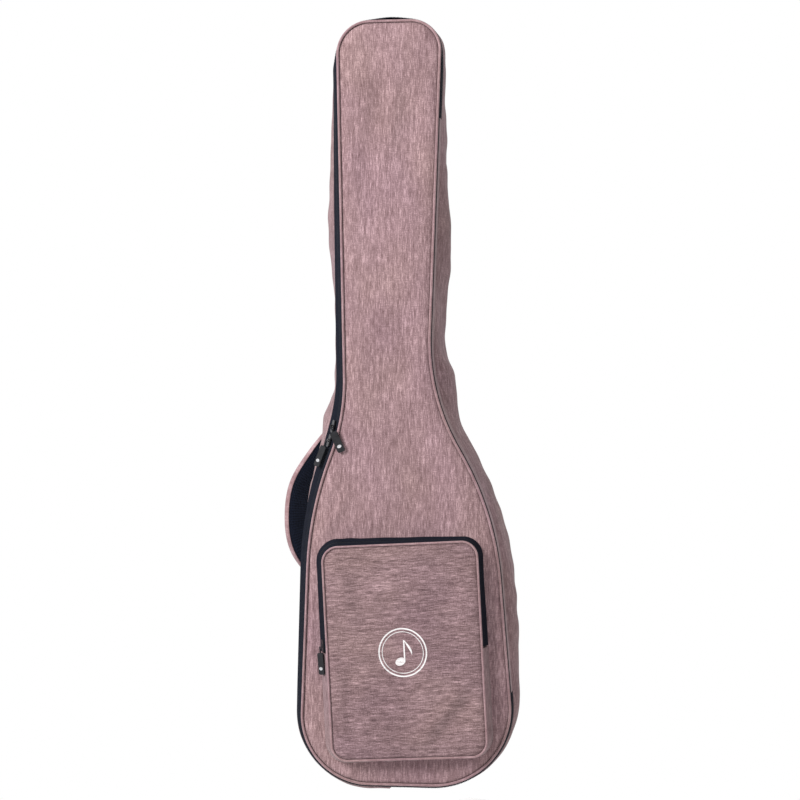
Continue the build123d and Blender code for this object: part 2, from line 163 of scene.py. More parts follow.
# ---- materials --------------------------------------------------------------------------
class Graph:
    """A material's node graph, with short calls for the nodes that the fabrics use."""

    def __init__(self, name, colour, roughness=0.85, sheen=0.0, metallic=0.0, specular=0.3):
        self.mat = bpy.data.materials.new(name)
        self.mat.use_nodes = True
        self.mat.diffuse_color = (*colour, 1.0)
        self.tree = self.mat.node_tree
        self.shader = self.tree.nodes["Principled BSDF"]
        values = {
            "Base Color": (*colour, 1.0),
            "Roughness": roughness,
            "Metallic": metallic,
            "Specular IOR Level": specular,
            "Sheen Weight": sheen,
            "Sheen Roughness": 0.5,
        }
        for socket, value in values.items():
            self.shader.inputs[socket].default_value = value

    def link(self, source, target):
        if isinstance(source, bpy.types.NodeSocket):
            self.tree.links.new(source, target)
        else:
            target.default_value = source

    def node(self, kind, **values):
        """A new node, each named input fed by another node's output or a plain value."""
        node = self.tree.nodes.new("ShaderNode" + kind)
        for socket, value in values.items():
            self.link(value, node.inputs[socket])
        return node

    def place(self, kept=False):
        """Where a point is in metres: across the weave, along it, and height."""
        if kept:
            return self.node("TexCoord").outputs["Object"]
        node = self.node("Attribute")
        node.attribute_name = "weave"
        return node.outputs["Vector"]

    def scaled(self, vector, x, y, z=1.0):
        return self.node("Mapping", Vector=vector, Scale=(x, y, z)).outputs["Vector"]

    def noise(self, vector, scale=1.0, detail=2.0, roughness=0.5):
        node = self.node("TexNoise", Vector=vector, Scale=scale, Detail=detail, Roughness=roughness)
        return node.outputs["Fac"]

    def wave(self, vector, scale, direction, distortion):
        node = self.node("TexWave", Vector=vector, Scale=scale, Distortion=distortion)
        node.bands_direction = direction
        return node.outputs["Fac"]

    def dots(self, vector, scale):
        node = self.node("TexVoronoi", Vector=vector, Scale=scale, Randomness=0.15)
        return node.outputs["Distance"]

    def reckon(self, operation, *values):
        node = self.node("Math")
        node.operation = operation
        for socket, value in zip(node.inputs, values):
            self.link(value, socket)
        return node.outputs[0]

    def sum(self, *parts):
        """Weighted sum of (value, weight) pairs."""
        total = 0.0
        for value, weight in parts:
            total = self.reckon("MULTIPLY_ADD", value, weight, total)
        return total

    def ramp(self, factor, stops):
        node = self.node("ValToRGB", Fac=factor)
        while len(node.color_ramp.elements) < len(stops):
            node.color_ramp.elements.new(0.5)
        for element, (position, colour) in zip(node.color_ramp.elements, stops):
            element.position = position
            element.color = (*colour, 1.0)
        return node.outputs["Color"]

    def mix(self, factor, first, second):
        node = self.node("Mix")
        node.data_type = "RGBA"
        for socket, value in (("Factor", factor), ("A", first), ("B", second)):
            self.link(value, node.inputs[socket])
        return node.outputs["Result"]

    def colour(self, source):
        self.link(source, self.shader.inputs["Base Color"])

    def tones(self, factor, colour, low, high):
        """Base colour from a darker to a lighter shade, as (position, brightness) pairs."""
        self.colour(self.ramp(factor, [(at, shade(colour, bright)) for at, bright in (low, high)]))

    def roughness(self, source):
        self.link(source, self.shader.inputs["Roughness"])

    def bump(self, height, distance, strength=1.0):
        node = self.node("Bump", Height=height, Distance=distance, Strength=strength)
        self.link(node.outputs["Normal"], self.shader.inputs["Normal"])


def shade(colour, factor):
    return tuple(c * factor for c in colour)


ROSE = (0.200, 0.1240, 0.1305)


def heather(name, tone=1.0, contrast=1.0, kept=False):
    """Two-tone woven polyester: long broken streaks of light and dark yarn over a fine weave,
    in slightly warmer and cooler patches."""
    g = Graph(name, shade(ROSE, tone), roughness=0.9, sheen=0.12, specular=0.2)
    at = g.place(kept)
    fine = g.noise(g.scaled(at, 700, 70), detail=2.0, roughness=0.65)
    broad = g.noise(g.scaled(at, 210, 20), detail=3.0, roughness=0.6)
    cross = g.noise(g.scaled(at, 90, 620), detail=1.0)
    speck = g.noise(at, 560.0, 3.0, 0.8)
    cloud = g.noise(g.scaled(at, 13, 8), detail=3.0)
    mixed = g.sum((fine, 0.34), (broad, 0.20), (cross, 0.08), (speck, 0.30), (cloud, 0.08))
    casts = []
    for warm in (-0.016, 0.016):
        red, green, blue = shade(ROSE, tone)
        base = (red * (1 + warm / 3), green * (1 + warm), blue * (1 - 1.6 * warm))
        dark = shade((base[0], base[1] * 0.85, base[2] * 0.87), 1 - 0.56 * contrast)
        light = shade((base[0], base[1] * 1.09, base[2] * 1.09), 1 + 1.25 * contrast)
        casts.append(g.ramp(mixed, [(0.37, dark), (0.495, base), (0.63, light)]))
    patches = g.noise(g.scaled(at, 9, 6), detail=2.0)
    g.colour(g.mix(g.sum((patches, 3.0), (-1.0, 1.0)), *casts))
    threads = g.reckon("MULTIPLY", g.wave(at, 330, "X", 0.6), g.wave(at, 330, "Y", 0.6))
    g.bump(g.sum((threads, 0.5), (fine, 0.7)), 0.00025, 0.7)
    g.roughness(g.sum((cross, 0.2), (0.8, 1.0)))
    return g.mat


def woven(name, colour, pitch, roughness=0.8, sheen=0.0):
    """Plain tape, lining or thread with fine ribs across and along."""
    g = Graph(name, colour, roughness=roughness, sheen=sheen, specular=0.06)
    at = g.place()
    ribs = g.sum((g.wave(at, pitch, "X", 0.4), 0.6), (g.wave(at, pitch, "Y", 0.4), 0.5))
    speck = g.noise(g.scaled(at, 300, 90), detail=2.0)
    g.tones(g.sum((ribs, 0.45), (speck, 0.5)), colour, (0.2, 0.5), (0.8, 1.7))
    g.bump(g.sum((ribs, 0.7), (speck, 0.3)), 0.0003, 0.8)
    return g.mat


def webbing(name, kept=False):
    """Nylon webbing: ribs along its length crossed by slanting ones, with rubbed streaks."""
    colour = (0.016, 0.017, 0.021)
    g = Graph(name, colour, roughness=0.65, sheen=0.02, specular=0.12)
    at = g.place(kept)
    ribs = g.wave(at, 110, "X", 0.3)
    weave = g.wave(at, 190, "DIAGONAL", 0.5)
    wear = g.noise(g.scaled(at, 120, 25), detail=3.0)
    g.tones(g.sum((ribs, 0.4), (wear, 0.5)), colour, (0.25, 0.5), (0.8, 2.0))
    g.bump(g.sum((ribs, 0.7), (weave, 0.4)), 0.0005, 0.9)
    return g.mat


def moulded(name, colour, roughness, specular, metallic=0.0):
    """Moulded or enamelled part with a faint grain and rubbed patches."""
    g = Graph(name, colour, roughness=roughness, specular=specular, metallic=metallic)
    at = g.place(kept=True)
    grain = g.noise(at, 2600, 2.0)
    rub = g.noise(at, 160, 3.0, 0.6)
    g.tones(rub, colour, (0.35, 0.8), (0.75, 1.5))
    g.roughness(g.sum((rub, 0.3), (roughness - 0.15, 1.0)))
    g.bump(grain, 0.00008, 0.5)
    return g.mat


def air_mesh(name):
    """Open spacer mesh: a lattice of small holes in a navy-black knit."""
    colour = (0.010, 0.014, 0.026)
    g = Graph(name, colour, roughness=0.8, sheen=0.02, specular=0.08)
    at = g.place()
    cells = g.dots(g.scaled(at, 1.0, 0.8), 330)
    soft = g.noise(g.scaled(at, 30, 20), detail=2.0)
    # each hole's middle is painted darker than the knit round it: painted shade in the holes
    g.tones(g.sum((cells, 1.0), (soft, 0.2)), colour, (0.2, 0.25), (0.7, 1.6))
    g.bump(cells, 0.0012, 1.0)
    return g.mat


def print_ink(name):
    """Pale screen print, worn thin in short streaks."""
    colour = (0.62, 0.60, 0.60)
    g = Graph(name, colour, roughness=0.6, specular=0.3)
    at = g.place()
    worn = g.noise(g.scaled(at, 500, 60), detail=3.0, roughness=0.7)
    g.colour(g.ramp(worn, [(0.30, (0.36, 0.31, 0.31)), (0.50, colour)]))
    g.bump(worn, 0.0002, 0.6)
    return g.mat


MATS = {
    "heather": heather("heather_fabric"),
    # darker copy of the same heather for the pocket's front: painted shade for its slant and turned
    # weave
    "heather_pocket": heather("heather_pocket", tone=0.77, contrast=1.25),
    # darker copy of the same heather for the side walls: painted shade, as the walls turn away from the
    # light
    "gusset_heather_painted_shade": heather("gusset_heather_painted_shade", tone=0.80, contrast=0.9),
    "heather_kept": heather("heather_kept", kept=True),
    "piping": heather("piping_fabric", tone=1.12, contrast=0.6),
    "lining": woven("lining", (0.022, 0.022, 0.026), 420, sheen=0.1),
    "tape": woven("zip_tape", (0.006, 0.007, 0.012), 420),
    "coil": moulded("zip_coil", (0.005, 0.006, 0.010), 0.5, 0.12),
    "metal": moulded("slider_metal", (0.012, 0.012, 0.015), 0.35, 0.3),
    "rubber": moulded("pull_rubber", (0.013, 0.013, 0.015), 0.6, 0.12),
    "dot": moulded("pull_dot", (0.55, 0.55, 0.57), 0.3, 0.5, metallic=0.9),
    "mesh": air_mesh("air_mesh"),
    "webbing": webbing("webbing"),
    "webbing_kept": webbing("webbing_kept", kept=True),
    "grip": woven("handle_grip", (0.018, 0.018, 0.020), 260, roughness=0.7),
    "plastic": moulded("buckle_plastic", (0.014, 0.014, 0.016), 0.45, 0.25),
    "ink": print_ink("emblem_print"),
    "thread": woven("thread", (0.02, 0.02, 0.024), 900),
    "rose_thread": woven("rose_thread", (0.13, 0.075, 0.082), 900),
}


# ---- mesh making ------------------------------------------------------------------------
def add_object(name, data):
    obj = bpy.data.objects.new(name, data)
    bpy.context.scene.collection.objects.link(obj)
    return obj


def show(name, mesh, weave, sharp, body, slot):
    """An object of a finished mesh, with its weave in metres, shading and body; slot is not used."""
    attribute = mesh.attributes.new("weave", "FLOAT_VECTOR", "POINT")
    attribute.data.foreach_set("vector", np.ascontiguousarray(weave).ravel())
    mesh.polygons.foreach_set("use_smooth", [True] * len(mesh.polygons))
    mesh.set_sharp_from_angle(angle=math.radians(sharp))
    obj = add_object(name, mesh)
    if body:
        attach(obj, body)
    return obj


def make_piece(name, points, faces, mats, body, slot, weave, face_mats=None, sharp=40.0):
    """A mesh object from design points, with its weave directions, material and body; slot is not used.
    """
    mesh = bpy.data.meshes.new(name)
    mesh.from_pydata([tuple(p) for p in row(points)], [], [tuple(map(int, f)) for f in faces])
    for mat in mats if isinstance(mats, list) else [mats]:
        mesh.materials.append(MATS[mat])
    if face_mats is not None:
        mesh.polygons.foreach_set("material_index", face_mats)
    tidy = bmesh.new()
    tidy.from_mesh(mesh)
    bmesh.ops.recalc_face_normals(tidy, faces=tidy.faces)
    tidy.to_mesh(mesh)
    tidy.free()
    return show(name, mesh, np.asarray(weave, float) * 0.001, sharp, body, slot)


def sweep_faces(rows, count, closed):
    """Faces of a closed profile of rows swept through count places, with its ends capped
    where the sweep itself doesn't close."""
    faces = []
    for j in range(rows):
        k = (j + 1) % rows
        for i in range(count if closed else count - 1):
            n = (i + 1) % count
            faces.append((j * count + i, j * count + n, k * count + n, k * count + i))
    if not closed:
        for end in (0, count - 1):
            faces.append([j * count + end for j in range(rows)])
    return faces


class Outline:
    """A closed line with rounded corners, clockwise from the front, sampled in step."""

    def __init__(self, corners, step, shift=None):
        self.corners = corners
        self.shift = shift or [(0, 0)] * len(corners)
        self.counts = []
        for turn, radius, run in self.spans(0.0):
            arc = max(3, math.ceil(radius * abs(turn) / step))
            self.counts.append((arc, max(1, math.ceil(run / step))))
        self.points, self.normals = self.sample(0.0)
        gaps = np.linalg.norm(np.roll(self.points, -1, axis=0) - self.points, axis=1)
        self.along = np.concatenate(([0.0], np.cumsum(gaps)[:-1]))
        self.length = float(gaps.sum())
        self.count = len(self.points)

    def legs(self, rear):
        """Each corner, moved by a share of the shift, with its heading, turn and cut."""
        pairs = zip(self.corners, self.shift)
        spots = [(x + rear * dx, z + rear * dz, r) for (x, z, r), (dx, dz) in pairs]
        legs = []
        total = len(spots)
        for i, here in enumerate(spots):
            before, after = spots[i - 1], spots[(i + 1) % total]
            heading = math.atan2(here[1] - before[1], here[0] - before[0])
            leaving = math.atan2(after[1] - here[1], after[0] - here[0])
            turn = (heading - leaving + math.pi) % (2 * math.pi) - math.pi
            legs.append((here, heading, turn, here[2] * math.tan(abs(turn) / 2)))
        return legs

    def spans(self, fill):
        legs = self.legs(fill)
        for i, (here, _, turn, cut) in enumerate(legs):
            after, _, _, next_cut = legs[(i + 1) % len(legs)]
            yield turn, here[2], math.dist(here[:2], after[:2]) - cut - next_cut

    def sample(self, fill):
        """Points of the line itself and the outward direction at each."""
        legs = self.legs(fill)
        points, normals = [], []
        for i, ((here, heading, turn, cut), (arc, run)) in enumerate(zip(legs, self.counts)):
            after, _, _, next_cut = legs[(i + 1) % len(legs)]
            side = math.copysign(here[2], turn)
            out = (-math.sin(heading), math.cos(heading))
            start = (here[0] - cut * math.cos(heading), here[1] - cut * math.sin(heading))
            centre = (start[0] - side * out[0], start[1] - side * out[1])
            for k in range(arc):
                angle = heading - turn * k / arc
                out = (-math.sin(angle), math.cos(angle))
                points.append((centre[0] + side * out[0], centre[1] + side * out[1]))
                normals.append(out)
            leaving = heading - turn
            way = (math.cos(leaving), math.sin(leaving))
            out = (-way[1], way[0])
            length = math.dist(here[:2], after[:2]) - cut - next_cut
            first = (here[0] + cut * way[0], here[1] + cut * way[1])
            for k in range(run):
                far = length * k / run
                points.append((first[0] + way[0] * far, first[1] + way[1] * far))
                normals.append(out)
        return np.array(points), np.array(normals)

    def at(self, grow=0.0, fill=0.0):
        points, normals = self.sample(fill) if fill else (self.points, self.normals)
        return points + normals * np.asarray(grow, float).reshape(-1, 1)

    def distance(self, spots, fill=0.0):
        """Distance of each spot inward from the line, negative outside it."""
        line = self.at(0.0, fill)
        ahead = np.roll(line, -1, axis=0)
        nearest = np.full(len(spots), 1e9)
        inside = np.zeros(len(spots), bool)
        for a, b in zip(line, ahead):
            span = b - a
            t = np.clip(((spots - a) @ span) / (span @ span), 0, 1)
            gap = np.linalg.norm(spots - (a + t[:, None] * span), axis=1)
            nearest = np.minimum(nearest, gap)
            crosses = (a[1] > spots[:, 1]) != (b[1] > spots[:, 1])
            height = b[1] - a[1] or 1e-9
            meet = a[0] + (spots[:, 1] - a[1]) * span[0] / height
            inside ^= crosses & (spots[:, 0] < meet)
        return np.where(inside, nearest, -nearest)


def flat(points):
    """Place for what is already in the design frame."""
    return points


def pocket_place(points):
    """From the pocket's own frame to the design frame."""
    points = np.asarray(points, float)
    cos, sin = math.cos(POCKET_TILT), math.sin(POCKET_TILT)
    x = points[:, 0] * cos - points[:, 2] * sin + POCKET_AT[0]
    z = points[:, 0] * sin + points[:, 2] * cos + POCKET_AT[1]
    return np.stack([x, points[:, 1], z], axis=1)


def ring(name, line, rows, mats, body, slot, span=None, place=flat, inner=None):
    """A closed profile of (y, grow, fill) rows swept round the line, or along a span of it.
    Faces from row inner onwards take the second material."""
    count = line.count if span is None else span[1] - span[0] + 1
    picks = np.arange(count) if span is None else np.arange(span[0], span[1] + 1) % line.count
    start = 0 if span is None else span[0]
    laps = (np.arange(count) + start) // line.count
    along = line.along[picks] + laps * line.length
    points, weave = [], []
    across = 0.0
    last = None
    for y, grow, fill in rows:
        xz = line.at(grow, fill)[picks]
        depth = np.broadcast_to(np.asarray(y, float), line.count)[picks]
        points.append(np.stack([xz[:, 0], depth, xz[:, 1]], axis=1))
        middle = points[-1][len(picks) // 2]
        across += 0.0 if last is None else float(np.linalg.norm(middle - last))
        last = middle
        weave.append(np.stack([np.full(count, across), along, np.zeros(count)], axis=1))
    faces = sweep_faces(len(rows), count, span is None)
    outer = len(rows) if inner is None else inner
    per_row = count if span is None else count - 1
    face_mats = [0] * len(faces)
    face_mats[outer * per_row : len(rows) * per_row] = [1] * ((len(rows) - outer) * per_row)
    points = place(np.concatenate(points))
    return make_piece(name, points, faces, mats, body, slot, np.concatenate(weave), face_mats)


def roll(y, radius, fill, points):
    """Round profile of a piping whose centre is on the line."""
    turns = np.linspace(0, 2 * math.pi, points, endpoint=False)
    return [(y + radius * math.cos(t), radius * math.sin(t), fill) for t in turns]


def filled(line, insets, step, fill=0.0):
    """Spots over an outline's inside and their triangles: rim rings first, then a grid."""
    rings = [line.at(-inset, fill) for inset in insets]
    count = line.count
    low, high = rings[0].min(axis=0), rings[0].max(axis=0)
    columns = np.arange(low[0], high[0], step)
    levels = np.arange(low[1], high[1], step * 0.87)
    grid = np.array([(x + (i % 2) * step / 2, z) for i, z in enumerate(levels) for x in columns])
    depth = line.distance(grid, fill)
    grid = grid[depth > insets[-1] + step * 0.6]
    spots = np.concatenate(rings + [grid])
    result = delaunay_2d_cdt([Vector(p) for p in spots], [], [list(range(count))], 1, 1e-5)
    placed = [None] * len(spots)
    for new, olds in enumerate(result[3]):
        for old in olds:
            placed[old] = new
    back = {placed[old]: old for old in range(len(spots)) if placed[old] is not None}
    triangles = [[back[v] for v in f] for f in result[2]]
    return spots, triangles, line.distance(spots, fill)


def skin(name, spots, triangles, rim, near, far, mats, body, turned=False, place=flat):
    """A closed padded sheet: near is the outer face's depth at each spot, far the inner's."""
    total = len(spots)
    outer = np.stack([spots[:, 0], near, spots[:, 1]], axis=1)
    inner = np.stack([spots[:, 0], far, spots[:, 1]], axis=1)
    faces = [list(t) for t in triangles] + [[v + total for v in t[::-1]] for t in triangles]
    for i in range(rim):
        n = (i + 1) % rim
        faces.append((i, n, n + total, i + total))
    face_mats = [0] * len(triangles) + [1] * len(triangles) + [0] * rim
    uv = np.stack([spots[:, 0], spots[:, 1], np.zeros(total)], axis=1)
    if turned:
        uv = uv[:, (1, 0, 2)]
    points = place(np.concatenate([outer, inner]))
    weave = np.concatenate([uv, uv])
    return make_piece(name, points, faces, mats, body, "heather_fabric", weave, face_mats)


BAG = Outline(SEAM, 4.0, REAR_SHIFT)
BAG_FINE = Outline(SEAM, 1.1, REAR_SHIFT)
QUARTERS = ((-1, 1), (1, 1), (1, -1), (-1, -1))
POCKET_CORNERS = [(i * POCKET_W / 2, k * POCKET_H / 2, POCKET_R) for i, k in QUARTERS]
POCKET = Outline(POCKET_CORNERS, 3.0)
POCKET_FINE = Outline(POCKET_CORNERS, 1.0)


def zones(line):
    """Sample numbers, running on past a full lap, where the spine, base, left and head start."""
    x, z = line.points.T
    middle = (z > ZIP_LOW) & (z < ZIP_TOP)
    right = np.nonzero(middle & (x > 0))[0]
    left = np.nonzero(middle & (x < 0))[0]
    return right[0], right[-1], left[0], left[-1]


# ---- main shell and lid -----------------------------------------------------------------
PANEL_INSETS = (2.3, 3.6, 6.0, 10.0, 16.0)
PANEL_CREASES = [
    (4.2, (-92, 352), 62, 38, 9),
    (-3.2, (-76, 362), 64, 40, 9),
    (3.0, (-84, 420), 72, 44, 9),
    (3.0, (150, 330), 106, 50, 9),
    (-3.0, (-24, 1020), 94, 110, 15),
    (2.4, (8, 1040), 98, 90, 12),
]


def panel_puff(spots, depth, seed):
    """How far a padded panel stands out of its flat face, in mm."""
    rim = -1.8 + 3.6 * (1 - np.exp(-(depth - PANEL_INSETS[0]) / 4.0))
    crown = 1.1 * (1 - np.exp(-depth / 55.0))
    calm = smooth((depth - 4.0) / 30.0)
    x, z = spots.T
    folds = 1.5 * waves(x, z * 0.28, 74.0, seed)
    dents = 0.5 * waves(x, z * 0.7, 42.0, seed + 1)
    return rim + crown + calm * (folds + dents + pulls(x, z, PANEL_CREASES))


def make_panels():
    for side, y, way, fill, body, seed in (
        ("front", FRONT_Y, -1, 0.0, "lid", 11),
        ("back", BACK_Y, 1, 1.0, "shell", 23),
    ):
        spots, triangles, depth = filled(BAG, PANEL_INSETS, 6.5, fill)
        near = y + way * panel_puff(spots, depth, seed)
        far = y - way * (10.6 - 1.5 * np.exp(-(depth - PANEL_INSETS[0]) / 6.0))
        cloths = ["heather", "lining"]
        panel = skin(f"{side}_panel", spots, triangles, BAG.count, near, far, cloths, body)
        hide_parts(*[f"{side}_panel_{ply}" for ply in ("outer", "foam", "lining")])
        rows = roll(y, PIPING_R, fill, 12)
        roll_piece = ring(f"{side}_piping_roll", BAG, rows, "piping", body, "piping")
        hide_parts(f"{side}_piping")


def eased(z, heights, values):
    """Values looked up by height, with the corners between them rounded off."""
    return sum(np.interp(z + step, heights, values) for step in (-20, -10, 0, 10, 20)) / 5


def gusset_fullness(line):
    """How much fuller than its usual bulge the wall is, in mm, along the line: it stands out
    at the shoulders, is pinched in above and below them, and is slim at the head."""
    x, z = line.points.T
    left = eased(z, [0, 150, 420, 570, 660, 780, 900, 1120], [4, -4, -5, 6, -9, -7, 5, -8])
    right = eased(z, [60, 300, 510, 560, 600, 640, 700, 860, 1120], [-1, 5, -9, -10, -3, 8, -10, 1, -8])
    return np.where(x < 0, left, right)


def gusset_rows(line, seed):
    """Bulging wall behind the zip: outer rows front to back, then the lining back to front."""
    outer, lining = [], []
    extra = gusset_fullness(line)
    for t in np.linspace(0, 1, 15):
        y = WALL_FRONT + (WALL_REAR - WALL_FRONT) * t
        share = min(1.0, t / 0.6)
        soft = math.sin(math.pi * t)
        start = zip_line(line, TAPE_REAR) - 0.2
        edge = start + (BACK_SEAM_OUT - start) * t
        creases = waves(line.along, np.full(line.count, y * 3.0), 150.0, seed)
        puckers = waves(line.along, np.full(line.count, y * 0.8), 42.0, seed + 5)
        bulge = WALL_BULGE - (start + BACK_SEAM_OUT) / 2 + extra
        grow = edge + soft**0.8 * bulge + soft * (1.3 * creases + 0.8 * puckers)
        outer.append((y, grow, share))
        lining.append((y, grow - WALL_THICKNESS, share))
    return outer, lining[::-1]


def make_gussets():
    outer, lining = gusset_rows(BAG, 41)
    right_first, right_last, left_first, left_last = zones(BAG)
    spans = {
        "gusset_base": (right_last, left_first),
        "gusset_left": (left_first, left_last),
        "gusset_head": (left_last, right_first + BAG.count),
    }
    # the walls take the darker heather copy: painted shade
    cloths = ["gusset_heather_painted_shade", "lining"]
    for node, span in spans.items():
        facts = (cloths, "shell", "heather_fabric", span)
        wall = ring(f"{node}_wall", BAG, outer + lining, *facts, inner=len(outer) - 1)
        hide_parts(node)
    lip = [(y, zip_line(BAG, y) + 0.3, 0.0) for y in (TAPE_FRONT, -38.0, TEETH_FRONT, -31.0, -25.0)]
    lip_in = [(y, grow - 1.4, fill) for y, grow, fill in lip[::-1]]
    rows = lip + outer + lining + lip_in
    facts = (cloths, None, "heather_fabric", (right_first, right_last))
    spine = ring("spine_hinge", BAG, rows, *facts, inner=len(lip + outer) - 1)
    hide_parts("gusset_spine", "spine_front_strip")
    start, end = row([(0, TAPE_REAR, 0), (0, TAPE_FRONT, 0)])
    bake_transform(spine)


def teeth(line, y0, y1, low, high):
    """Rows of a moulded coil whose outer face rises and falls tooth by tooth."""
    beat = np.where(np.arange(line.count) % 2 == 0, 1.0, 0.0)
    middle = (y0 + y1) / 2
    crest = low + (high - low) * beat
    flank, foot = low + (crest - low) * 0.8, low - TAPE_THICKNESS
    depths = (y0, y0 + 0.2, middle, y1 - 0.2, y1, y1, y0)
    return [(y, grow, 0.0) for y, grow in zip(depths, (low, flank, crest, flank, low, foot, foot))]


def zip_line(line, y):
    """How far out the main zip's face lies at a depth: it flares to the back on the left, where
    the bag's back leans past its front, runs straight on the right and is drawn in round the
    head, but for the middle of its top."""
    side, top = line.normals.T
    x, z = line.points.T
    coil = 5.6 - 1.9 * side
    lean = np.interp(z, [0, 150, 420, 540, 640, 900, 1100], [2, 5, 8, 12, 8, 6, 3])
    edge = 8.6 - np.where(side < 0, lean, 4.6) * side + 1.6 * np.clip(top, 0, 1)
    near = 3.0 + (coil - 3.0) * (y - TAPE_FRONT) / (TEETH_FRONT - TAPE_FRONT)
    far = coil + (edge - coil) * (y - TEETH_REAR) / (TAPE_REAR - TEETH_REAR)
    face = np.where(y < TEETH_FRONT, near, np.where(y < TEETH_REAR, coil, far))
    head = smooth((z - 1118) / 40)
    crown = 5.0 * head * np.exp(-(((x - 3) / 34) ** 2))
    return crown + (1 - 0.62 * head) * face


def pocket_line(line, y):
    """How far out the pocket's side lies at a depth: it spreads to its base, most at the left."""
    x = line.points[:, 0]
    side, top = line.normals.T
    base = 9.6 - 3.2 * x / (POCKET_W / 2) + 1.8 * np.abs(side) - 4.6 * np.clip(-top, 0, 1)
    return base * (y - POCKET_FRONT) / (POCKET_BASE - POCKET_FRONT)


def band_rows(line, face, y0, y1):
    """Rows of a flat tape between two depths of a face, a little rounded over its width."""
    out0, out1 = face(line, y0), face(line, y1)
    outer = []
    for t in np.linspace(0, 1, 6):
        swell = 0.35 * math.sin(math.pi * t)
        outer.append((y0 + (y1 - y0) * t, out0 + (out1 - out0) * t + swell, 0.0))
    return outer + [(y1, out1 - TAPE_THICKNESS, 0.0), (y0, out0 - TAPE_THICKNESS, 0.0)]


def make_main_zip():
    halves = (
        ("front", "lid", (TAPE_FRONT, TEETH_FRONT), (-34.4, -32.6)),
        ("rear", "shell", (TEETH_REAR, TAPE_REAR), (-32.3, -30.5)),
    )
    for half, body, edges, _ in halves:
        first, last, _, _ = zones(BAG)
        rows = band_rows(BAG, zip_line, *edges)
        span = (last, first + BAG.count)
        tape = ring(f"main_zip_{half}_tape", BAG, rows, "tape", body, "zip_tape", span)
        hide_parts(f"zip_{half}_tape")
    face = zip_line(BAG_FINE, -32.5)
    for half, body, _, edges in halves:
        first, last, _, _ = zones(BAG_FINE)
        rows = teeth(BAG_FINE, *edges, face, face + 1.6)
        span = (last, first + BAG_FINE.count)
        coil = ring(f"main_zip_{half}_coil", BAG_FINE, rows, "coil", body, "zip_coil", span)
        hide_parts(f"zip_{half}_coil")


# ---- pocket -----------------------------------------------------------------------------
POCKET_FOLD = 12.0       # reach each side of the pocket's middle, for a fold line that is worked out but not used
POCKET_INSETS = (1.9, 3.2, 5.4, 9.0, 14.0)
POCKET_CREASES = [
    (5.0, (52, -104), 56, 50, 13),
    (-5.0, (84, -92), 58, 60, 15),
    (4.2, (-92, 96), 112, 56, 13),
    (-4.0, (-62, 84), 104, 64, 16),
    (-3.4, (-88, -70), 96, 60, 14),
]


def pocket_puff(x, z, depth):
    """How far the pocket's front stands out of its flat face, in mm."""
    rim = -1.4 + 3.0 * (1 - np.exp(-(depth - POCKET_INSETS[0]) / 4.0))
    crown = 1.6 * (1 - np.exp(-depth / 45.0))
    calm = smooth((depth - 4.0) / 26.0)
    folds = 2.2 * waves(x, z * 0.7, 105.0, 61) + 0.5 * waves(x, z, 42.0, 63)
    return rim + crown + calm * (folds + pulls(x, z, POCKET_CREASES))


def bend_pocket(piece):
    """Bakes the piece's place into its mesh; a line across the pocket's middle is worked out but
    nothing folds about it.
    """
    spots = pocket_place([(0, POCKET_FRONT, -POCKET_FOLD), (0, POCKET_FRONT, POCKET_FOLD)])
    start, end = row(spots)
    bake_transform(piece)


def make_pocket_front():
    spots, triangles, depth = filled(POCKET, POCKET_INSETS, 5.0)
    near = POCKET_FRONT - pocket_puff(*spots.T, depth)
    sheet = (spots, triangles, POCKET.count, near, near + 2.6)
    # the pocket's front takes the darker heather copy: painted shade
    front = skin("pocket_front", *sheet, ["heather_pocket", "lining"], None, True, pocket_place)
    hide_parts("pocket_front_upper", "pocket_front_lower")
    bend_pocket(front)
    rows = roll(POCKET_FRONT, POCKET_PIPING_R, 0.0, 10)
    facts = ("piping", None, "piping")
    roll_piece = ring("pocket_piping_roll", POCKET, rows, *facts, place=pocket_place)
    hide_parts("pocket_piping_upper", "pocket_piping_lower")
    bend_pocket(roll_piece)


def pocket_span(line, upper):
    """Sample numbers of the upper or lower half of the pocket's edge."""
    low = np.nonzero(line.points[:, 1] <= 0)[0]
    right, left = int(low[0]), int(low[-1])
    return (left + 1, right - 1 + line.count) if upper else (right, left)


